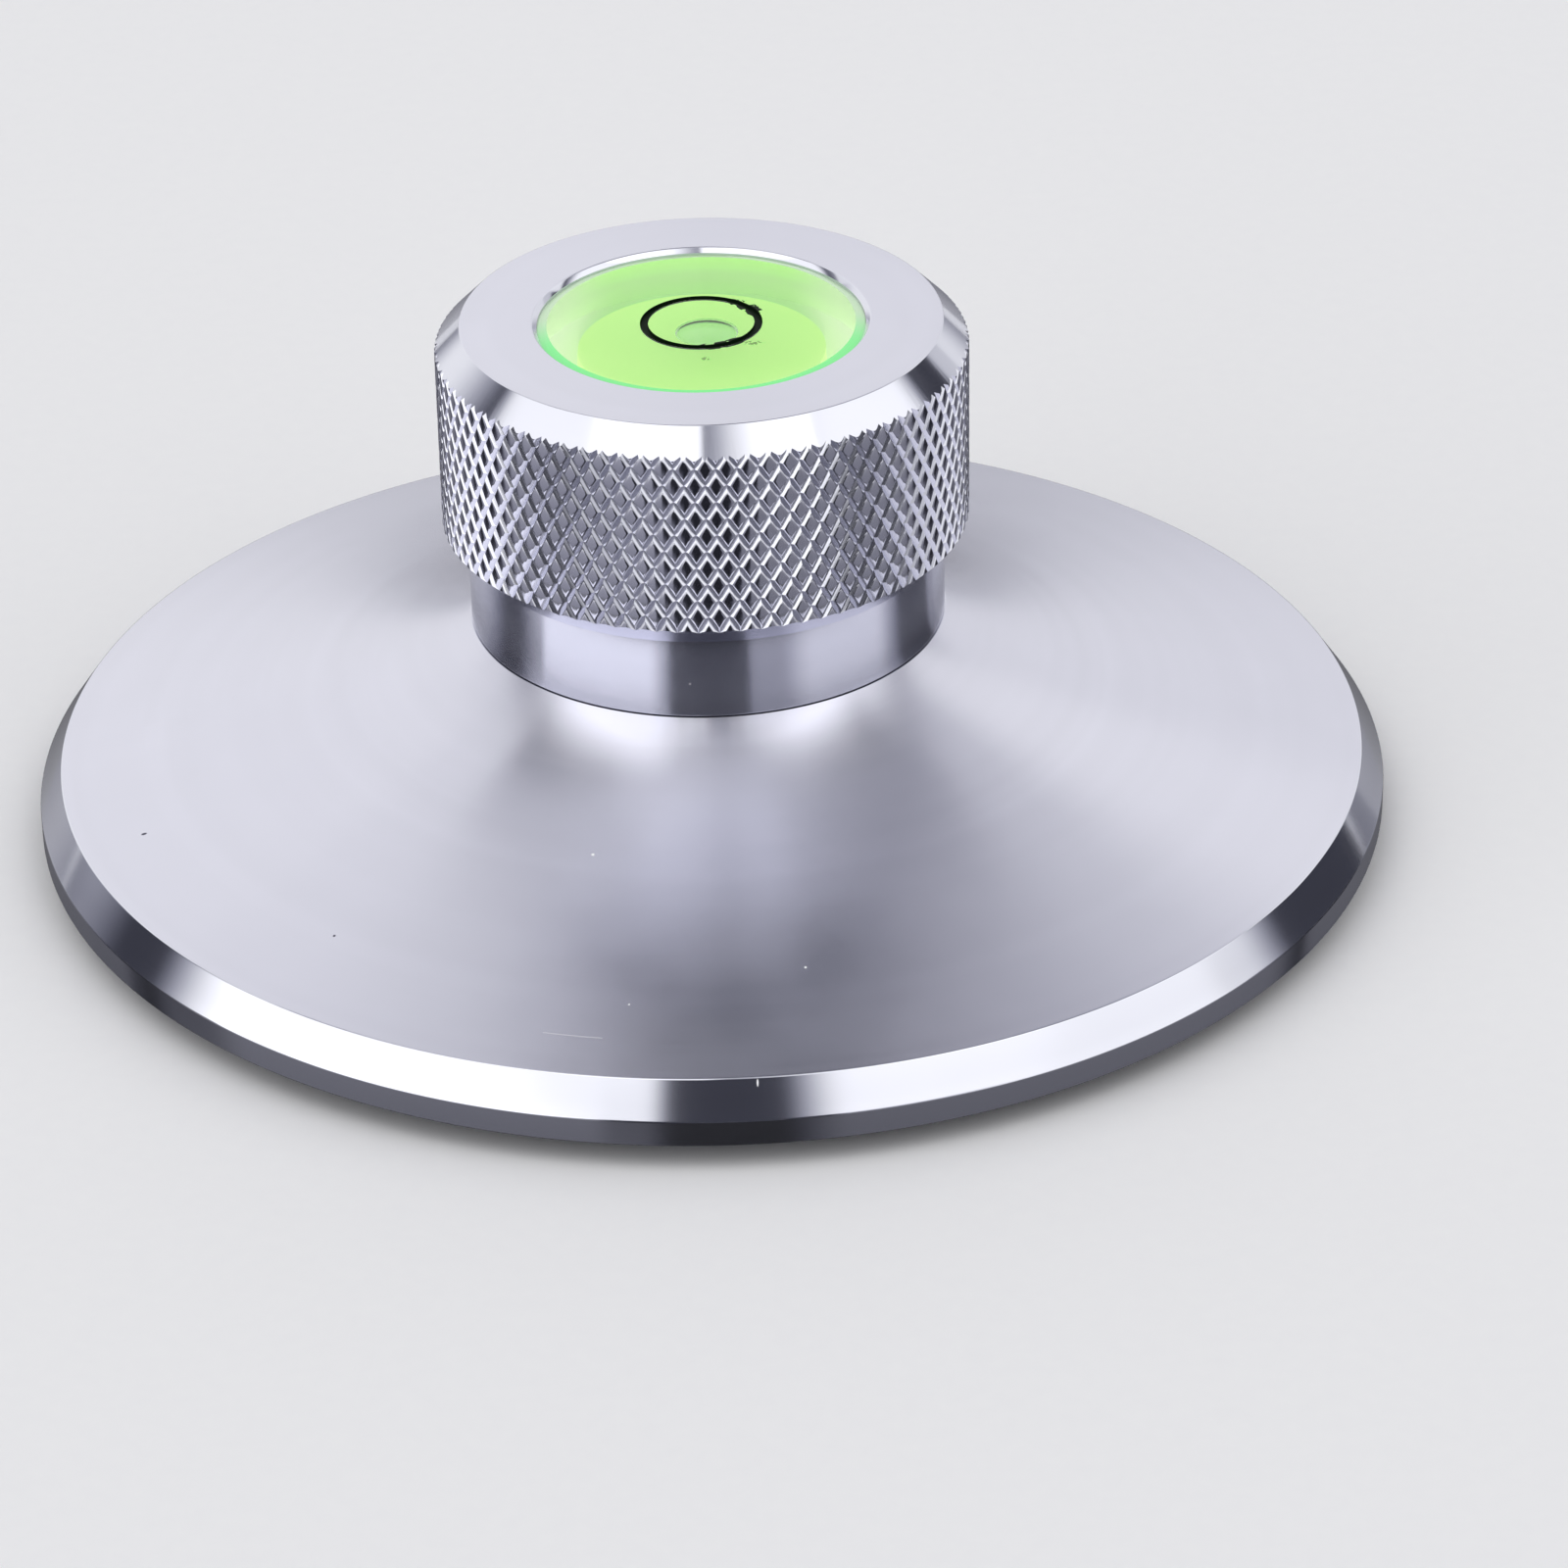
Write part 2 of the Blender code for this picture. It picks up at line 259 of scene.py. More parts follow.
underside = [(0, hole_tip),
             (SPINDLE_RADIUS, hole_end),
             (SPINDLE_RADIUS, foot_underside + SPINDLE_LEAD_IN),
             (SPINDLE_RADIUS + SPINDLE_LEAD_IN, foot_underside),
             (PAD_INNER_RADIUS - CLOSE_FIT, foot_underside),
             (PAD_INNER_RADIUS - CLOSE_FIT, pad_top + CLOSE_FIT),
             (PAD_OUTER_RADIUS + CLOSE_FIT, pad_top + CLOSE_FIT),
             (PAD_OUTER_RADIUS + CLOSE_FIT, foot_underside)]
rim = [(foot_radius, foot_underside), (foot_radius, rim_band_top), rim_chamfer_top]
boss = [(BOSS_RADIUS, neck_top),
        (BOSS_RADIUS, boss_top - BOSS_CHAMFER),
        (BOSS_RADIUS - BOSS_CHAMFER, boss_top),
        (0, boss_top)]

foot = draw_section("turned_foot", underside + rim + flare() + boss)
break_corners(foot, rim, EDGE_BREAK)
spin_section(foot, FOOT_FACETS)
finish_piece(foot, "foot")

# %% [markdown]
# ## The pad
#
# A flat ring of soft black rubber, let into the recess, on which the weight stands. A tube would do for
# its shape, but a spun section lets its two lower corners be rounded as moulded rubber is.

# %% Pad
PAD_ROUND = 0.3

pad_corners = [(PAD_INNER_RADIUS, 0), (PAD_OUTER_RADIUS, 0), (PAD_OUTER_RADIUS, pad_top),
               (PAD_INNER_RADIUS, pad_top)]
pad = draw_section("rubber_pad", pad_corners + pad_corners[:1])
select_only(pad)
bpy.ops.object.mode_set(mode="EDIT")
bpy.ops.mesh.select_all(action="SELECT")
bpy.ops.mesh.remove_doubles(threshold=SAME_POINT * MM)
bpy.ops.object.mode_set(mode="OBJECT")
break_corners(pad, pad_corners[:2], PAD_ROUND, 4)
spin_section(pad, FOOT_FACETS // 2)
finish_piece(pad, "pad")

# %% [markdown]
# ## The knurl
#
# A knurling tool rolls two sets of crossing grooves into the grip and leaves small raised diamonds with
# flat tops. A bump pattern could draw them, but the knob's outline would stay smooth, so they are real.
# One diamond is modelled: a square of four corners, inset and raised, with its crest rounded a little.
# Array modifiers copy it along and up. A second set, half a step along and up, fills the spaces. The
# flat strip is then wrapped round the axis. The wrap is a loop in code, because the strip's ragged ends
# would spoil the measure that the Simple Deform modifier takes.

# %% Knurled strip
GRIP_RADIUS = 15.2
KNURL_COUNT = 80
KNURL_DIAMOND_HEIGHT = 2.04
KNURL_FLAT_SHARE = 0.62
KNURL_CREST = 0.085
CREST_STEPS = 3
KNURL_TOP_ROW = 29.6
KNURL_ROWS_BELOW = 10

half_column = math.pi * GRIP_RADIUS / KNURL_COUNT
half_row = KNURL_DIAMOND_HEIGHT / 2
groove_pitch = 2 * half_column * math.cos(math.atan2(half_column, half_row))
knurl_depth = groove_pitch * (1 - KNURL_FLAT_SHARE) / 2
knurl_root = GRIP_RADIUS - knurl_depth


def knurl_set(name, columns, rows, along, up):
    """One set of diamonds in a flat strip that faces -Y, with its first diamond at that place."""
    bpy.ops.object.select_all(action="DESELECT")
    bpy.ops.mesh.primitive_circle_add(vertices=4, radius=MM, fill_type="NGON",
                                      rotation=(math.pi / 2, 0, 0))
    strip = bpy.context.object
    strip.name = name
    strip.scale = (half_column, half_row, 1)
    bpy.ops.object.transform_apply(location=True, rotation=True, scale=True)
    bpy.ops.object.mode_set(mode="EDIT")
    bpy.ops.mesh.select_mode(type="FACE")
    bpy.ops.mesh.select_all(action="SELECT")
    bpy.ops.mesh.inset(thickness=knurl_depth * MM, depth=knurl_depth * MM)
    bpy.ops.mesh.bevel(offset=KNURL_CREST * MM, segments=CREST_STEPS, affect="EDGES")
    bpy.ops.mesh.select_all(action="SELECT")
    bpy.ops.transform.translate(value=(along * MM, 0, up * MM))
    bpy.ops.object.mode_set(mode="OBJECT")
    for count, step in ((columns, (2 * half_column * MM, 0, 0)), (rows, (0, 0, 2 * half_row * MM))):
        copies = strip.modifiers.new("copies", "ARRAY")
        copies.count = count
        copies.use_relative_offset = False
        copies.use_constant_offset = True
        copies.constant_offset_displace = step
        bpy.ops.object.modifier_apply(modifier=copies.name)
    return strip


knurl_bottom = KNURL_TOP_ROW - KNURL_ROWS_BELOW * half_row
even = knurl_set("knurled_rod", KNURL_COUNT, KNURL_ROWS_BELOW // 2 + 1, 0, knurl_bottom)
odd = knurl_set("knurled_rod_between", KNURL_COUNT, KNURL_ROWS_BELOW // 2 + 1, half_column,
                knurl_bottom + half_row)
even_face = min(vertex.co.y for vertex in even.data.vertices)
print("each diamond stands", round(-even_face / MM, 3), "mm high")

# %% [markdown]
# The two sets become one strip. Each vertex's distance along the strip turns into an angle, and the
# strip's thickness into a distance from the axis. Then the open ends are drawn out to plain sleeves and
# closed, so that the rod is a solid that can trim the knob.

# %% Knurled rod
ROD_ENDS = (11.0, 34.0)

select_only(even)
odd.select_set(True)
bpy.ops.object.join()
rod = bpy.context.object
for vertex in rod.data.vertices:
    along, inward, height = vertex.co / MM
    angle = along / GRIP_RADIUS
    radius = knurl_root - inward
    vertex.co = Vector((radius * math.sin(angle), -radius * math.cos(angle), height)) * MM
bpy.ops.object.mode_set(mode="EDIT")
bpy.ops.mesh.select_all(action="SELECT")
bpy.ops.mesh.remove_doubles(threshold=SAME_POINT * MM)
bpy.ops.mesh.select_mode(type="EDGE")
middle_height = KNURL_TOP_ROW - KNURL_ROWS_BELOW * half_row / 2
for end_height in ROD_ENDS:
    bpy.ops.mesh.select_all(action="DESELECT")
    bpy.ops.mesh.select_non_manifold(extend=False, use_wire=False, use_boundary=True,
                                     use_multi_face=False, use_non_contiguous=False, use_verts=False)
    bpy.ops.object.mode_set(mode="OBJECT")
    for edge in rod.data.edges:
        height = rod.data.vertices[edge.vertices[0]].co.z / MM
        if (height > middle_height) != (end_height > middle_height):
            edge.select = False
    bpy.ops.object.mode_set(mode="EDIT")
    bpy.ops.mesh.extrude_region_move()
    bpy.ops.transform.resize(value=(1, 1, 0), center_override=(0, 0, end_height * MM))
    bpy.ops.mesh.edge_face_add()
bpy.ops.mesh.select_all(action="SELECT")
bpy.ops.mesh.normals_make_consistent(inside=False)
bpy.ops.object.mode_set(mode="OBJECT")
print("knurled rod:", len(rod.data.polygons), "faces")

# %% [markdown]
# ## The knob
#
# The blank is turned a little thicker than the grip. Intersecting it with the rod leaves the diamonds
# where the blank is thick, and the blank's own chamfers and collar where it is thin. The diamonds could
# be fitted one by one, but the Boolean modifier also makes them run out into the chamfers, as a rolled
# knurl does.

# %% Knob
KNOB_FACETS = 320
COLLAR_HEIGHT = 4.5
TOP_CHAMFER = 1.48
SOCKET_RADIUS = 8.3
SOCKET_CEILING = 22.28
BORE_RADIUS = 9.35
BORE_CHAMFER = 0.27
SEAM = 0.05

knob_foot = neck_top + SEAM
collar_top = neck_top + GAP + COLLAR_HEIGHT
blank_radius = GRIP_RADIUS + knurl_depth
top_edge = GRIP_RADIUS - TOP_CHAMFER
collar_corners = [(COLLAR_RADIUS, knob_foot), (COLLAR_RADIUS, collar_top)]
grip_corners = [(blank_radius, collar_top + blank_radius - COLLAR_RADIUS),
                (blank_radius, knob_top - (blank_radius - top_edge))]
top_corners = [(top_edge, knob_top), (BORE_RADIUS + BORE_CHAMFER, knob_top)]
knob_outline = ([(0, SOCKET_CEILING), (SOCKET_RADIUS, SOCKET_CEILING), (SOCKET_RADIUS, knob_foot)]
                + collar_corners + grip_corners + top_corners
                + [(BORE_RADIUS, knob_top - BORE_CHAMFER), (BORE_RADIUS, level_bore_floor),
                   (0, level_bore_floor)])
knob = draw_section("knurled_knob", knob_outline)
break_corners(knob, collar_corners[:1] + top_corners, EDGE_BREAK)
spin_section(knob, KNOB_FACETS)
trim = knob.modifiers.new("knurl", "BOOLEAN")
trim.operation = "INTERSECT"
trim.solver = "EXACT"
trim.object = rod
bpy.ops.object.modifier_apply(modifier=trim.name)
bpy.data.objects.remove(rod)
bpy.ops.object.mode_set(mode="EDIT")
bpy.ops.mesh.select_all(action="SELECT")
bpy.ops.mesh.remove_doubles(threshold=SAME_POINT * MM)
bpy.ops.object.mode_set(mode="OBJECT")
finish_piece(knob, "knob")

# %% [markdown]
# ## The spirit level
#
# A clear cup stands upside down in the knob's bore. Its top is the lens, flat above and domed below,
# with the sighting ring engraved in it and filled with black. A ball could be cut to make the dome, but
# it rises by only half a millimetre, so its arc is worked out and spun with the rest of the section.

# %% Lens cup
LEVEL_FACETS = 160
LEVEL_RADIUS = 9.33
LEVEL_INNER_RADIUS = 7.0
EDGE_WIDTH = 0.55
EDGE_DROP = 0.14
LENS_THICKNESS = 1.0
LENS_DOME_RISE = 0.5
RING_OUTER = 3.48
RING_INNER = 3.02
RING_DEPTH = 0.2
DOME_STEPS = 16


def dome(crown_height, edge_radius):
    """Half section of the lens's shallow dome, from its edge to its crown."""
    ball = (LEVEL_INNER_RADIUS ** 2 + LENS_DOME_RISE ** 2) / (2 * LENS_DOME_RISE)
    edge_deg = math.degrees(math.acos(edge_radius / ball))
    points = arc((0, crown_height - ball), ball, edge_deg, 90, DOME_STEPS)
    return points[:-1] + [(0, crown_height)]


lens_crown = level_top - LENS_THICKNESS
cup_outline = (dome(lens_crown, LEVEL_INNER_RADIUS)[::-1]
               + [(LEVEL_INNER_RADIUS, level_foot), (LEVEL_RADIUS, level_foot),
                  (LEVEL_RADIUS, level_top - EDGE_DROP), (LEVEL_RADIUS - EDGE_WIDTH, level_top),
                  (RING_OUTER, level_top), (RING_OUTER, level_top - RING_DEPTH),
                  (RING_INNER, level_top - RING_DEPTH), (RING_INNER, level_top), (0, level_top)])
cup = draw_section("lens_cup", cup_outline)
spin_section(cup, LEVEL_FACETS)
finish_piece(cup, "level_housing")

# %% [markdown]
# The liquid fills the cup up to the dome. The bubble is a hollow in it: a flattened sphere with its
# faces turned inwards, joined to the liquid as one mesh. A Boolean could cut it out as well, but the two
# surfaces never cross, so a join is enough and leaves clean faces.

# %% Liquid and bubble
LIQUID_CLEARANCE = 0.01
liquid_radius = LEVEL_INNER_RADIUS - LIQUID_CLEARANCE
liquid = draw_section("green_spirit", [(0, level_base_top + LIQUID_CLEARANCE),
                                       (liquid_radius, level_base_top + LIQUID_CLEARANCE)]
                      + dome(lens_crown - LIQUID_CLEARANCE, liquid_radius))
spin_section(liquid, LEVEL_FACETS)

BUBBLE_CENTRE = (0.3, -0.25)
BUBBLE_RADIUS = 1.8
BUBBLE_HALF_DEPTH = 0.4
BUBBLE_BELOW_LENS = 0.06
bubble_place = Vector((*BUBBLE_CENTRE, lens_crown - BUBBLE_BELOW_LENS - BUBBLE_HALF_DEPTH))
bubble_sizes = (BUBBLE_RADIUS, BUBBLE_RADIUS, BUBBLE_HALF_DEPTH)
bpy.ops.object.select_all(action="DESELECT")
bpy.ops.mesh.primitive_uv_sphere_add(segments=64, ring_count=32, radius=MM)
bubble = bpy.context.object
bubble.scale = bubble_sizes
bubble.location = bubble_place * MM
bpy.ops.object.transform_apply(location=True, rotation=True, scale=True)
bpy.ops.object.mode_set(mode="EDIT")
bpy.ops.mesh.select_all(action="SELECT")
bpy.ops.mesh.flip_normals()
bpy.ops.object.mode_set(mode="OBJECT")
liquid.select_set(True)
bpy.context.view_layer.objects.active = liquid
bpy.ops.object.join()
finish_piece(liquid, "level_liquid")

# %% [markdown]
# A white plug closes the cup from below and shows through the liquid. A cylinder would do, but a spun
# disc has its corners where the cup and the liquid have theirs.

# %% Plug
plug = draw_section("white_plug", [(0, level_foot), (liquid_radius, level_foot),
                                   (liquid_radius, level_base_top), (0, level_base_top)])
spin_section(plug, LEVEL_FACETS)
finish_piece(plug, "level_base")

# %% [markdown]
# ## Node helpers
#
# Colours are given as the hex values that a screen shows, and become linear light here. Nodes could be
# wired by hand in the editor, but one helper that adds a node, sets it up, links it and hands back its
# output lets a material be read from top to bottom.

# %% Node helpers
SMOOTH = {"interpolation_type": "SMOOTHSTEP"}


def linear(hex_colour):
    """A hex colour such as #8090A0 as linear red, green, blue and alpha."""
    parts = [int(hex_colour[i:i + 2], 16) / 255 for i in (1, 3, 5)]
    return tuple(c / 12.92 if c <= 0.04045 else ((c + 0.055) / 1.055) ** 2.4 for c in parts) + (1.0,)


def add_node(tree, kind, inputs=(), give=0, **settings):
    """Adds a node and gives one of its outputs, or all of them where give is None.

    The inputs are values or other nodes' outputs, in the order of the sockets or by socket."""
    made = tree.nodes.new("ShaderNode" + kind)
    for name, value in settings.items():
        setattr(made, name, value)
    for socket, value in inputs.items() if isinstance(inputs, dict) else enumerate(inputs):
        if isinstance(value, bpy.types.NodeSocket):
            tree.links.new(value, made.inputs[socket])
        else:
            made.inputs[socket].default_value = value
    return made.outputs if give is None else made.outputs[give]


def new_material(name):
    """A node material with nothing in it, and its tree."""
    material = bpy.data.materials.new(name)
    material.use_nodes = True
    material.node_tree.nodes.clear()
    return material, material.node_tree


def reach_from(tree, place, spot, half_sizes):
    """How far a point is from a spot, in half sizes. The spot and the half sizes are in millimetres."""
    offset = add_node(tree, "VectorMath", (place, Vector(spot) * MM), operation="SUBTRACT")
    per_size = [1 / (half * MM) for half in half_sizes]
    scaled = add_node(tree, "VectorMath", (offset, per_size), operation="MULTIPLY")
    return add_node(tree, "VectorMath", (scaled,), "Value", operation="LENGTH")


def dress(piece, materials, choose=None):
    """Gives a piece its materials; choose picks the slot from a face's radius, height and slope."""
    for material in materials:
        piece.data.materials.append(material)
    if choose:
        for face in piece.data.polygons:
            place = face.center / MM
            radius = math.hypot(place.x, place.y)
            face.material_index = choose(radius, place.z, face.normal)
    print(f"{piece.name}: {', '.join(material.name for material in materials)}")


# %% [markdown]
# ## Metal
#
# Turned aluminium mirrors its surroundings, but blurs them across the fine grooves of the cut. The grooves
# run round the axis, so the tangent is the direction round the axis at each point. No two grooves are
# alike: a noise that is drawn out round the axis changes the roughness, the slope and the shade from one
# ring to the next. A picture of turned metal could be wrapped round the piece, but it would stretch on
# the flare, while noise that is read by radius and height fits every turned face. Clouds 6 mm across
# stand for handling. The foot is satin, the rim and the collar were cut with a diamond and are bright,
# and the knurl's grooves are rougher, because they are pressed in and not cut. A few specks of dust, a
# nick in the rim and a faint scratch break the surface.

# %% Metal
SATIN = "#DADAE6"
BRIGHT = "#DFE0EA"
# Real grooves are less than 0.1 mm apart, too fine to show, so they are drawn about 0.17 mm apart.
RINGS_PER_MM = 6.0
# Wider bands, about 1.4 mm apart, stand for small changes in the cut.
BANDS_PER_MM = 0.7
CLOUDS_PER_MM = 0.16
RING_WANDER = 0.15
RING_SHARE = 0.8
CLOUD_SHARE = 1.2
SHADE_CHANGE = 0.06
LIGHT_DUST = "#F2F2F6"
DARK_DUST = "#5E5E6A"
DUST_CORE = 0.5
FOOT_LIGHT = [((-6.74, -21.44, 9.14), (0.13, 0.13, 0.13)),
              ((4.79, -30.1, 6.79), (0.1, 0.1, 0.1)),
              ((-4.82, -32.49, 6.18), (0.07, 0.07, 0.07))]
FOOT_DARK = [((-32.5, -12.06, 5.74), (0.22, 0.14, 0.14)),
             ((-21.08, -24.7, 6.28), (0.11, 0.11, 0.11))]
BRIGHT_LIGHT = [((1.99, -38.3, 4.7), (0.07, 0.22, 0.3)),
                ((-1.14, -13.78, 15.53), (0.07, 0.1, 0.05))]
SCRATCH_RADIUS = 35.4
SCRATCH_MIDDLE_DEG = -102.85
SCRATCH_HALF_DEG = 2.65
SCRATCH_STRENGTH = 0.3
SCRATCH_HALF_WIDTH = (0.02, 0.06)
# What lies closer than this counts as touching.
TOUCH = 0.01
GROOVE_SLOPES = (0.03, 0.6)


def metal(name, colour, roughness, uneven, drawn_out=0.0, depth=0.0, light=(), dark=(), scratched=False):
    """Turned metal with its rings, and with light and dark specks where they are given."""
    material, tree = new_material(name)
    place = add_node(tree, "TexCoord", give="Object")
    around = add_node(tree, "VectorMath", ((0, 0, 1), place), operation="CROSS_PRODUCT")
    x, y, z = add_node(tree, "SeparateXYZ", (place,), None)
    flat = add_node(tree, "CombineXYZ", (x, y))
    radius = add_node(tree, "VectorMath", (flat,), "Value", operation="LENGTH")
    radius = add_node(tree, "Math", (radius, MM), operation="DIVIDE")
    height = add_node(tree, "Math", (z, MM), operation="DIVIDE")
    turn = add_node(tree, "Math", (y, x), operation="ARCTAN2")
    wander = add_node(tree, "Math", (turn, RING_WANDER), operation="MULTIPLY")
    ring_place = add_node(tree, "CombineXYZ", (radius, height, wander))
    rings = add_node(tree, "TexNoise", {"Vector": ring_place, "Scale": RINGS_PER_MM, "Detail": 3.0}, "Fac")
    bands = add_node(tree, "TexNoise", {"Vector": ring_place, "Scale": BANDS_PER_MM, "Detail": 2.0}, "Fac")
    clouds = add_node(tree, "TexNoise", {"Vector": place, "Scale": CLOUDS_PER_MM / MM, "Detail": 4.0}, "Fac")
    ring_change = add_node(tree, "Math", (rings, RING_SHARE, -RING_SHARE / 2), operation="MULTIPLY_ADD")
    cloud_change = add_node(tree, "Math", (clouds, CLOUD_SHARE, -CLOUD_SHARE / 2), operation="MULTIPLY_ADD")
    change = add_node(tree, "Math", (ring_change, cloud_change), operation="ADD")
    rough = add_node(tree, "Math", (change, uneven, roughness), operation="MULTIPLY_ADD")
    shade = add_node(tree, "Math", (bands, clouds), operation="ADD")
    shade = add_node(tree, "Math", (shade, SHADE_CHANGE, 1 - SHADE_CHANGE), operation="MULTIPLY_ADD")
    tint = add_node(tree, "VectorMath", {0: linear(colour)[:3], 3: shade}, operation="SCALE")
    slope = add_node(tree, "Bump", {"Strength": 1.0, "Distance": depth * MM, "Height": rings})
    surface = add_node(tree, "BsdfPrincipled",
                       {"Base Color": tint, "Metallic": 1.0, "Roughness": rough, "Normal": slope,
                        "Anisotropic": drawn_out, "Anisotropic Rotation": 0.25, "Tangent": around})
    for dust_colour, marks in ((LIGHT_DUST, light), (DARK_DUST, dark)):
        mask = 0.0
        for spot, half_sizes in marks:
            reach = reach_from(tree, place, spot, half_sizes)
            speck = add_node(tree, "MapRange", (reach, DUST_CORE, 1.0, 1.0, 0.0), **SMOOTH)
            mask = add_node(tree, "Math", (mask, speck), operation="MAXIMUM")
        if marks:
            dust = add_node(tree, "BsdfDiffuse", {"Color": linear(dust_colour)})
            surface = add_node(tree, "MixShader", (mask, surface, dust))
    if scratched:
        off_line = add_node(tree, "Math", (radius, SCRATCH_RADIUS), operation="SUBTRACT")
        off_line = add_node(tree, "Math", (off_line,), operation="ABSOLUTE")
        line = add_node(tree, "MapRange", (off_line, *SCRATCH_HALF_WIDTH, SCRATCH_STRENGTH, 0.0), **SMOOTH)
        ends = (turn, math.radians(SCRATCH_MIDDLE_DEG), math.radians(SCRATCH_HALF_DEG))
        between = add_node(tree, "Math", ends, operation="COMPARE")
        line = add_node(tree, "Math", (line, between), operation="MULTIPLY")
        scored = add_node(tree, "BsdfDiffuse", {"Color": linear(LIGHT_DUST)})
        surface = add_node(tree, "MixShader", (line, surface, scored))
    add_node(tree, "OutputMaterial", {"Surface": surface}, None)
    return material


# Fine even grooves: a soft sheen that fans out from the axis.
satin_metal = metal("satin_turned_aluminium", SATIN, roughness=0.22, uneven=0.05, drawn_out=0.7,
                    depth=0.0006, light=FOOT_LIGHT, dark=FOOT_DARK, scratched=True)
# A mirror cut: crisp reflections with sharp ends.
bright_metal = metal("diamond_turned_aluminium", BRIGHT, roughness=0.10, uneven=0.02, depth=0.0002,
                     light=BRIGHT_LIGHT)
# Pressed metal: a dull gleam in the bottom of each groove.
knurled_metal = metal("rolled_knurl_aluminium", BRIGHT, roughness=0.22, uneven=0.06)


def foot_slot(radius, height, normal):
    """0 for the satin flare, 1 for the bright rim."""
    return 1 if radius > rim_chamfer_top[0] - EDGE_BREAK else 0


def knob_slot(radius, height, normal):
    """0 for the satin top, 1 for what was turned bright, with the diamonds, 2 for the knurl's grooves."""
    if height > knob_top - EDGE_BREAK / 2:
        return 0
    flattest, steepest = GROOVE_SLOPES
    in_groove = knurl_root - TOUCH < radius < GRIP_RADIUS - KNURL_CREST
    return 2 if in_groove and flattest < abs(normal.z) < steepest else 1


dress(foot, [satin_metal, bright_metal], foot_slot)
dress(knob, [satin_metal, bright_metal, knurled_metal], knob_slot)

# %% [markdown]
# ## Rubber
#
# The pad is moulded in black rubber. One flat colour would do at a glance, but would look like a hole
# under the foot, so a fine grain dents its skin, and dust in patches makes it paler and duller there.

# %% Rubber
# The real grain is too fine to show, so it is drawn 0.4 mm across. The patches are 7 mm across.
GRAIN_PER_MM = 2.5
PATCHES_PER_MM = 0.14
PATCH_RANGE = (0.45, 0.75)
RUBBER_ROUGH = 0.55
DUST_ROUGH = 0.3

# Carbon black and a matt mould: almost no light comes back, and what does is soft.
rubber, tree = new_material("moulded_black_rubber")
place = add_node(tree, "TexCoord", give="Object")
grain = add_node(tree, "TexNoise", {"Vector": place, "Scale": GRAIN_PER_MM / MM, "Detail": 3.0}, "Fac")
dusty = add_node(tree, "TexNoise", {"Vector": place, "Scale": PATCHES_PER_MM / MM, "Detail": 5.0}, "Fac")
patches = add_node(tree, "MapRange", (dusty, *PATCH_RANGE), **SMOOTH)
tones = {0: patches, 6: linear("#1B1B1D"), 7: linear("#29292A")}
tone = add_node(tree, "Mix", tones, 2, data_type="RGBA")
dimples = add_node(tree, "Bump", {"Strength": 0.5, "Distance": 0.03 * MM, "Height": grain})
rough = add_node(tree, "Math", (dusty, DUST_ROUGH, RUBBER_ROUGH), operation="MULTIPLY_ADD")
surface = add_node(tree, "BsdfPrincipled", {"Base Color": tone, "Roughness": rough, "Normal": dimples})
add_node(tree, "OutputMaterial", {"Surface": surface}, None)
dress(pad, [rubber])

# %% [markdown]
# ## White plastic
#
# The plug is moulded in white plastic with a faint cloudiness. Its green tint and a little emission are
# painted light, and so is the glow of the wall behind it: they stand in for the yellow-green light that
# reaches them through the lens and the dye. Light could be traced through the dye, but the painted glow
# gives the same lit look with far less noise.

# %% White plastic
# Clouds about 3 mm across.
CLOUDINESS_PER_MM = 0.3
PLASTIC_ROUGH = 0.4
CLOUD_ROUGH = 0.2

# White resin with painted green light and a painted glow: pale, soft and even, as if lit from inside.
white_plastic, tree = new_material("moulded_white_plastic")
place = add_node(tree, "TexCoord", give="Object")
cloudy = add_node(tree, "TexNoise", {"Vector": place, "Scale": CLOUDINESS_PER_MM / MM, "Detail": 3.0}, "Fac")
# Painted green light: the white plug's tones are tinted green.
tones = {0: cloudy, 6: linear("#D6EFA6"), 7: linear("#E2F5B2")}
tone = add_node(tree, "Mix", tones, 2, data_type="RGBA")
rough = add_node(tree, "Math", (cloudy, CLOUD_ROUGH, PLASTIC_ROUGH), operation="MULTIPLY_ADD")
# Painted glow: the emission stands for light that reaches the plug through the lens.
surface = add_node(tree, "BsdfPrincipled",
                   {"Base Color": tone, "Roughness": rough,
                    "Emission Color": linear("#BEF684"), "Emission Strength": 0.5})
add_node(tree, "OutputMaterial", {"Surface": surface}, None)
dress(plug, [white_plastic])

# %% [markdown]
# ## Clear acrylic
#
# The cup is polished acrylic. Where the spirit wets it the two are nearly one to the light. That face
# could bend light by the small difference, but then the gap between the two meshes would show, so it is
# drawn as nothing at all. The ring's ink ran a little on the lens: over two sectors its edge is ragged.
# Two small dark dotted patches lie in front of the ring.

# %% Acrylic
ACRYLIC_IOR = 1.49
INK = "#0D1D0D"
# Blots about 0.6 mm across and dots about 0.2 mm across.
BLOTS_PER_MM = 1.7
DOTS_PER_MM = 4.5
BLOT_RANGE = (0.44, 0.5)
DOT_RANGE = (0.46, 0.54)
# Each ragged sector: its middle and half width in degrees, and how far the ink ran in millimetres.
RAGGED = [(35, 26, 0.3), (-68, 28, 0.2)]
# Each dark dotted patch: its place on the lens and its half sizes, in millimetres.
DARK_DOTTED_PATCHES = [((2.9, -2.9, 0), (0.8, 0.4, math.inf)), ((0.2, -4.8, 0), (0.45, 0.3, math.inf))]
DOTTED_PATCH_CORE = 0.3
DOTTED_PATCH_STRENGTH = 0.55
RING_MIDDLE = (RING_OUTER + RING_INNER) / 2
RING_HALF_WIDTH = (RING_OUTER - RING_INNER) / 2
INK_DEPTH = 0.05

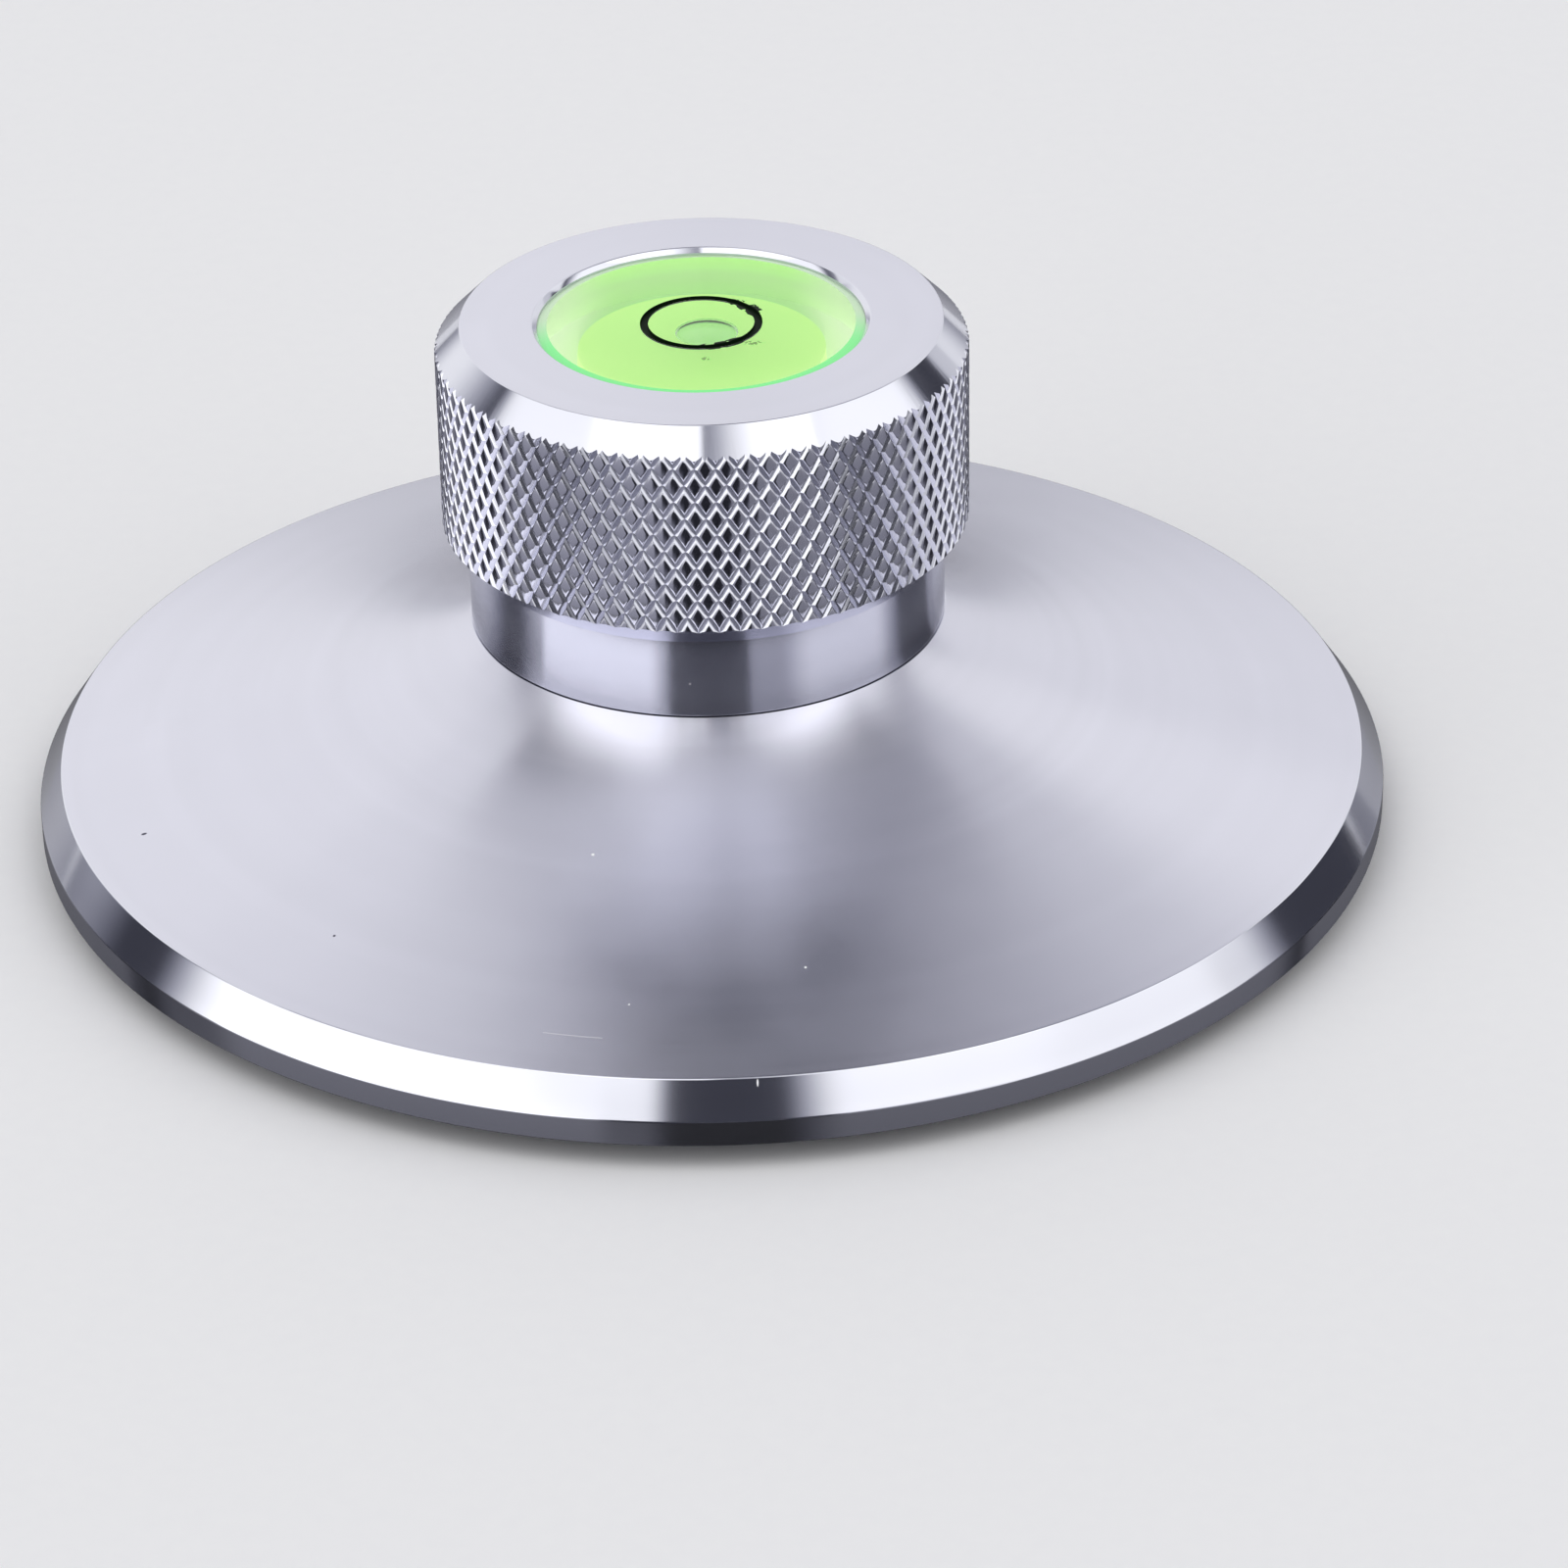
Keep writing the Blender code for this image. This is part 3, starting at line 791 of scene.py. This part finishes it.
# Polished clear plastic: all but unseen, apart from a sharp glint of the studio.
acrylic, tree = new_material("polished_clear_acrylic")
clear = add_node(tree, "BsdfPrincipled",
                 {"Base Color": linear("#F7FCF8"), "Roughness": 0.0, "IOR": ACRYLIC_IOR,
                  "Transmission Weight": 1.0})
dried_ink = add_node(tree, "BsdfPrincipled",
                     {"Base Color": linear(INK), "Roughness": 0.5, "Specular IOR Level": 0.1})
place = add_node(tree, "TexCoord", give="Object")
x, y, z = add_node(tree, "SeparateXYZ", (place,), None)
turn = add_node(tree, "Math", (y, x), operation="ARCTAN2")
turn = add_node(tree, "Math", (turn, math.degrees(1)), operation="MULTIPLY")
flat = add_node(tree, "CombineXYZ", (x, y))
radius = add_node(tree, "VectorMath", (flat,), "Value", operation="LENGTH")
radius = add_node(tree, "Math", (radius, MM), operation="DIVIDE")
blots = add_node(tree, "TexNoise", {"Vector": place, "Scale": BLOTS_PER_MM / MM, "Detail": 4.0}, "Fac")
fine = add_node(tree, "TexNoise", {"Vector": place, "Scale": DOTS_PER_MM / MM, "Detail": 2.0}, "Fac")
blots = add_node(tree, "MapRange", (blots, *BLOT_RANGE), **SMOOTH)
dots = add_node(tree, "MapRange", (fine, *DOT_RANGE), **SMOOTH)
off_ring = add_node(tree, "Math", (radius, RING_MIDDLE), operation="SUBTRACT")
off_ring = add_node(tree, "Math", (off_ring,), operation="ABSOLUTE")
off_ring = add_node(tree, "Math", (off_ring, RING_HALF_WIDTH), operation="SUBTRACT")
inked = 0.0
for centre, half, spread in RAGGED:
    off_centre = add_node(tree, "Math", (turn, centre), operation="SUBTRACT")
    off_centre = add_node(tree, "Math", (off_centre,), operation="ABSOLUTE")
    sector = add_node(tree, "MapRange", (off_centre, half / 2, half, spread, 0.0), **SMOOTH)
    limit = add_node(tree, "Math", (sector, blots), operation="MULTIPLY")
    blot = add_node(tree, "Math", (off_ring, limit), operation="LESS_THAN")
    inked = add_node(tree, "Math", (inked, blot), operation="MAXIMUM")
# Dark dotted patches in front of the ring, laid on by place.
for spot, half_sizes in DARK_DOTTED_PATCHES:
    reach = reach_from(tree, place, spot, half_sizes)
    patch = add_node(tree, "MapRange", (reach, DOTTED_PATCH_CORE, 1.0, 1.0, 0.0), **SMOOTH)
    dotted_patch = add_node(tree, "Math", (patch, dots), operation="MULTIPLY")
    dotted_patch = add_node(tree, "Math", (dotted_patch, DOTTED_PATCH_STRENGTH), operation="MULTIPLY")
    inked = add_node(tree, "Math", (inked, dotted_patch), operation="MAXIMUM")
on_top = add_node(tree, "Math", (z, (level_top - INK_DEPTH) * MM), operation="GREATER_THAN")
inked = add_node(tree, "Math", (inked, on_top), operation="MULTIPLY")
skin = add_node(tree, "MixShader", (inked, clear, dried_ink))
add_node(tree, "OutputMaterial", {"Surface": skin}, None)

# Wetted plastic: its surface all but vanishes, so nothing is drawn there.
wetted, tree = new_material("acrylic_wetted_by_spirit")
add_node(tree, "OutputMaterial", {"Surface": add_node(tree, "BsdfTransparent")}, None)
# Dried ink in the engraved ring: a flat black line under the gloss.
ink, tree = new_material("black_ring_ink")
dried = add_node(tree, "BsdfPrincipled",
                 {"Base Color": linear(INK), "Roughness": 0.6, "Specular IOR Level": 0.1})
add_node(tree, "OutputMaterial", {"Surface": dried}, None)
print("ragged sectors of ink:", len(RAGGED), "and smudges:", len(DARK_DOTTED_PATCHES))

# %% [markdown]
# ## The cup's wall and edge
#
# The cup's side is backed with white, so it shows green behind the spirit. Its tones are painted light and
# shade: whiter at the sides, greyer low down, and a little painted glow. Light that is caught in the lens
# leaves it at its sloping edge, and there the dye colours it green; that edge carries a painted green glow,
# strongest in front. Those long paths of light could be traced, but they come out noisy, so the tones are
# laid on by place as painted light. From inside, the edge looks like the wall.

# %% Wall and edge
SIDE_RANGE = (0.5, 0.9)
FRONT_RANGE = (-3.2 * MM, 1.5 * MM)
WALL_LIGHT = 0.3
EDGE_LIGHT = 0.3


def wall_surface(tree):
    """The white-backed wall, with painted light and shade and a little painted glow."""
    place = add_node(tree, "TexCoord", give="Object")
    x, y, z = add_node(tree, "SeparateXYZ", (place,), None)
    # Painted light and shade: whiter towards the sides, greyer low down, and a painted glow from the
    # emission.
    sideways = add_node(tree, "Math", (x,), operation="ABSOLUTE")
    sideways = add_node(tree, "Math", (sideways, LEVEL_RADIUS * MM), operation="DIVIDE")
    to_side = add_node(tree, "MapRange", (sideways, *SIDE_RANGE), **SMOOTH)
    rise = add_node(tree, "MapRange", (z, level_base_top * MM, (level_top - LENS_THICKNESS) * MM), **SMOOTH)
    greens = {0: rise, 6: linear("#BEDAA8"), 7: linear("#C6F09E")}
    green = add_node(tree, "Mix", greens, 2, data_type="RGBA")
    tint = add_node(tree, "Mix", {0: to_side, 6: green, 7: linear("#E0E6D8")}, 2, data_type="RGBA")
    return add_node(tree, "BsdfPrincipled", {"Base Color": tint, "Roughness": 0.6,
                                             "Emission Color": tint, "Emission Strength": WALL_LIGHT})


# A white coat behind clear plastic: a bright green ground for the spirit, with painted light and glow.
backing, tree = new_material("white_backed_wall_with_painted_light")
add_node(tree, "OutputMaterial", {"Surface": wall_surface(tree)}, None)

# A thin green rim with a painted glow and a painted green tint, strongest in front, for the light the edge
# gathers.
edge_glow, tree = new_material("lens_edge_with_painted_green_glow")
place = add_node(tree, "TexCoord", give="Object")
x, y, z = add_node(tree, "SeparateXYZ", (place,), None)
# Painted light: the green tint and the glow grow towards the front.
to_front = add_node(tree, "MapRange", (y, *FRONT_RANGE, 1.0, 0.0), **SMOOTH)
greens = {0: to_front, 6: linear("#CDEBC4"), 7: linear("#70D880")}
edge_tint = add_node(tree, "Mix", greens, 2, data_type="RGBA")
edge_light = add_node(tree, "Math", (to_front, EDGE_LIGHT), operation="MULTIPLY")
outside = add_node(tree, "BsdfPrincipled",
                   {"Base Color": edge_tint, "Roughness": 0.15,
                    "Emission Color": linear("#7CE688"), "Emission Strength": edge_light})
inside = add_node(tree, "NewGeometry", give="Backfacing")
both = add_node(tree, "MixShader", (inside, outside, wall_surface(tree)))
add_node(tree, "OutputMaterial", {"Surface": both}, None)


def cup_slot(radius, height, normal):
    """0 clear, 1 where the spirit wets it, 2 the inked ring, 3 the white-backed side, 4 the lens's edge."""
    below_top = height < level_top - TOUCH
    if height < level_foot + TOUCH:
        return 3
    if below_top and radius > LEVEL_RADIUS - EDGE_WIDTH:
        return 4 if normal.z > 0.5 else 3
    in_ring = RING_INNER - TOUCH < radius < RING_OUTER + TOUCH and height > lens_crown + RING_DEPTH / 2
    if below_top and in_ring:
        return 2
    if radius < LEVEL_INNER_RADIUS + TOUCH and height < lens_crown + TOUCH:
        return 1
    return 0


dress(cup, [acrylic, wetted, ink, backing, edge_glow], cup_slot)

# %% [markdown]
# ## The spirit
#
# The spirit is clear liquid with a yellow-green dye. A tinted glass would colour only the surface, so
# the dye is a volume that deepens with the depth of liquid. It meets the cup without a visible surface,
# and only round the bubble, where it meets air, does it bend the light.

# %% Spirit
SPIRIT_TINT = "#8AE030"
SPIRIT_DENSITY = 45.0
SPIRIT_IOR = 1.36
BUBBLE_MARGIN = 1.05

# Dyed alcohol: a fresh green that is darkest where one looks through the most of it.
spirit, tree = new_material("tinted_spirit")
place = add_node(tree, "TexCoord", give="Object")
reach = reach_from(tree, place, bubble_place, bubble_sizes)
on_bubble = add_node(tree, "Math", (reach, BUBBLE_MARGIN), operation="LESS_THAN")
joined = add_node(tree, "BsdfTransparent")
bubble_skin = add_node(tree, "BsdfGlass", {"Color": linear("#F1F9FD"), "Roughness": 0.0, "IOR": SPIRIT_IOR})
surface = add_node(tree, "MixShader", (on_bubble, joined, bubble_skin))
dye = add_node(tree, "VolumeAbsorption", {"Color": linear(SPIRIT_TINT), "Density": SPIRIT_DENSITY})
add_node(tree, "OutputMaterial", {"Surface": surface, "Volume": dye}, None)
dress(liquid, [spirit])

# %% [markdown]
# ## The studio
#
# Polished metal shows whatever stands round it, so the studio is painted round the weight by direction:
# a big softbox on each side, a dark gap between them where the camera stands, dark gaps behind their far
# edges, and a pale wall at the back. Area lamps could stand for the softboxes, but here each edge had to
# be placed by its angle, so they are painted on the world. Each card is given by the degrees, from the
# front, between which it comes in and goes out, by the same for its height above the horizon, and by
# its strength. The shade between them is a cool one. The camera itself sees plain white instead.

# %% Studio
LEFT, RIGHT, BOTH = "left", "right", "both"
CARDS = [
    (LEFT, (18, 29, 83, 87), (-14, -6, 14, 25), 1.57),
    (LEFT, (17, 21, 86, 104), (2, 11, 33, 42), 1.52),
    (LEFT, (8, 13, 105, 114), (24, 38, 52, 59), 1.22),
    (LEFT, (0, 3, 108, 111), (51, 54, 76, 89), 1.52),
    (RIGHT, (17, 20, 95, 106), (-12, 25, 47, 60), 1.04),
    (RIGHT, (9, 23, 107, 120), (27, 30, 51, 62), 1.25),
    (RIGHT, (23, 51, 85, 104), (-14, -6, 40, 50), 1.15),
    (RIGHT, (17, 22, 60, 100), (-14, -6, 40, 50), 0.21),
    (RIGHT, (-17, 46, 96, 110), (51, 55, 67, 92), 1.60),
    (RIGHT, (127, 130, 200, 210), (-5, 11, 50, 58), 0.73),
    (RIGHT, (134, 137, 200, 210), (-8, 11, 39, 45), 0.92),
    (LEFT, (106, 136, 200, 210), (-5, 9, 42, 54), 1.00),
    (LEFT, (117, 120, 200, 210), (25, 29, 53, 56), 0.93),
    (RIGHT, (118, 121, 200, 210), (26, 29, 38, 57), 1.01),
    (LEFT, (121, 139, 157, 179), (44, 50, 83, 90), 0.73),
    (RIGHT, (121, 124, 155, 173), (26, 29, 80, 90), 0.41),
    (BOTH, (-10, -5, 200, 210), (66, 87, 100, 110), 0.68),
]
SHADE = 0.065
SHADE_TINT = linear("#D7DAFF")
WHITE = linear("#FFFFFF")

world = bpy.data.worlds.new("studio")
bpy.context.scene.world = world
world.use_nodes = True
tree = world.node_tree
tree.nodes.clear()
direction = add_node(tree, "TexCoord", give="Generated")
x, y, z = add_node(tree, "SeparateXYZ", (direction,), None)
forward = add_node(tree, "Math", (y, -1.0), operation="MULTIPLY")
around = add_node(tree, "Math", (x, forward), operation="ARCTAN2")
to_right = add_node(tree, "Math", (around, math.degrees(1)), operation="MULTIPLY")
to_left = add_node(tree, "Math", (to_right, -1.0), operation="MULTIPLY")
to_either = add_node(tree, "Math", (to_right,), operation="ABSOLUTE")
sides = {RIGHT: to_right, LEFT: to_left, BOTH: to_either}
above = add_node(tree, "Math", (z,), operation="ARCSINE")
above = add_node(tree, "Math", (above, math.degrees(1)), operation="MULTIPLY")
glow = SHADE
for side, turns, heights, strength in CARDS:
    card = strength
    for angle, (in0, in1, out0, out1) in ((sides[side], turns), (above, heights)):
        comes_in = add_node(tree, "MapRange", (angle, in0, in1), **SMOOTH)
        goes_out = add_node(tree, "MapRange", (angle, out0, out1, 1.0, 0.0), **SMOOTH)
        window = add_node(tree, "Math", (comes_in, goes_out), operation="MULTIPLY")
        card = add_node(tree, "Math", (window, card), operation="MULTIPLY")
    glow = add_node(tree, "Math", (card, glow), operation="MAXIMUM")
whiteness = add_node(tree, "Math", (glow,), operation="SQRT")
cool = add_node(tree, "Mix", {0: whiteness, 6: SHADE_TINT, 7: WHITE}, 2, data_type="RGBA")
painted = add_node(tree, "Background", {"Color": cool, "Strength": glow})
plain = add_node(tree, "Background", {"Color": WHITE, "Strength": 1.0})
seen = add_node(tree, "LightPath", give="Is Camera Ray")
mixed = add_node(tree, "MixShader", (seen, painted, plain))
add_node(tree, "OutputWorld", {"Surface": mixed}, None)
print("studio cards:", len(CARDS))

# %% [markdown]
# ## Floor and mat
#
# The weight stands on a floor of pale paper with a faint fibre. The metal also mirrors a dark glossy mat
# round the foot, duller in its middle. A dark floor would give the same reflections, but a plain pale
# one was wanted, so only mirrors can see the mat. Without it the knurl would have nothing dark to show
# between its lines of light.

# %% Floor and mat
FLOOR_SIZE = 4.0
MAT_INNER = 37.0
MAT_OUTER = 320.0
MAT_LIFT = 0.05
MIDDLE_RADIUS = 50.0
MIDDLE_BLEND = 1.0
MIDDLE_TONE = 0.03
OUTER_TONE = 0.01
MIDDLE_GLOSS = 0.38
OUTER_GLOSS = 0.95
# Fibres about 1 mm apart, coarser than real ones so that they show at all.
FIBRES_PER_MM = 0.9
PAPER_ROUGH = 0.75
FIBRE_ROUGH = 0.1

bpy.ops.object.select_all(action="DESELECT")
bpy.ops.mesh.primitive_plane_add(size=FLOOR_SIZE)
floor = bpy.context.object
floor.name = "floor"
# Matt paper: a soft shadow under the weight and no reflection.
paper, tree = new_material("pale_studio_paper")
place = add_node(tree, "TexCoord", give="Object")
fibres = add_node(tree, "TexNoise", {"Vector": place, "Scale": FIBRES_PER_MM / MM, "Detail": 3.0}, "Fac")
tones = {0: fibres, 6: linear("#EDEDEF"), 7: linear("#F0F0F1")}
tone = add_node(tree, "Mix", tones, 2, data_type="RGBA")
rough = add_node(tree, "Math", (fibres, FIBRE_ROUGH, PAPER_ROUGH), operation="MULTIPLY_ADD")
surface = add_node(tree, "BsdfPrincipled", {"Base Color": tone, "Roughness": rough})
add_node(tree, "OutputMaterial", {"Surface": surface}, None)
floor.data.materials.append(paper)

bpy.ops.object.select_all(action="DESELECT")
bpy.ops.mesh.primitive_circle_add(vertices=128, radius=MAT_OUTER * MM, fill_type="NGON")
mat = bpy.context.object
mat.name = "mat"
bpy.ops.object.mode_set(mode="EDIT")
bpy.ops.mesh.select_mode(type="FACE")
bpy.ops.mesh.select_all(action="SELECT")
bpy.ops.mesh.inset(thickness=(MAT_OUTER - MAT_INNER) * MM)
bpy.ops.mesh.delete(type="FACE")
bpy.ops.mesh.select_all(action="SELECT")
bpy.ops.transform.translate(value=(0, 0, MAT_LIFT * MM))
bpy.ops.object.mode_set(mode="OBJECT")
# Black gloss: dark, with a faint mirror image of the studio.
glossy, tree = new_material("black_glossy_mat")
place = add_node(tree, "TexCoord", give="Object")
reach = add_node(tree, "VectorMath", (place,), "Value", operation="LENGTH")
step = ((MIDDLE_RADIUS - MIDDLE_BLEND) * MM, (MIDDLE_RADIUS + MIDDLE_BLEND) * MM)
tone = add_node(tree, "MapRange", (reach, *step, MIDDLE_TONE, OUTER_TONE), **SMOOTH)
gloss = add_node(tree, "MapRange", (reach, *step, MIDDLE_GLOSS, OUTER_GLOSS), **SMOOTH)
surface = add_node(tree, "BsdfPrincipled",
                   {"Base Color": tone, "Roughness": 0.12, "IOR": 1.92, "Specular IOR Level": gloss,
                    "Specular Tint": linear("#E7E7FF")})
add_node(tree, "OutputMaterial", {"Surface": surface}, None)
mat.data.materials.append(glossy)
mat.visible_camera = False
mat.visible_diffuse = False
mat.visible_transmission = False
mat.visible_shadow = False
print(f"floor {FLOOR_SIZE:.0f} m square, mat {2 * MAT_OUTER:.0f} mm across")
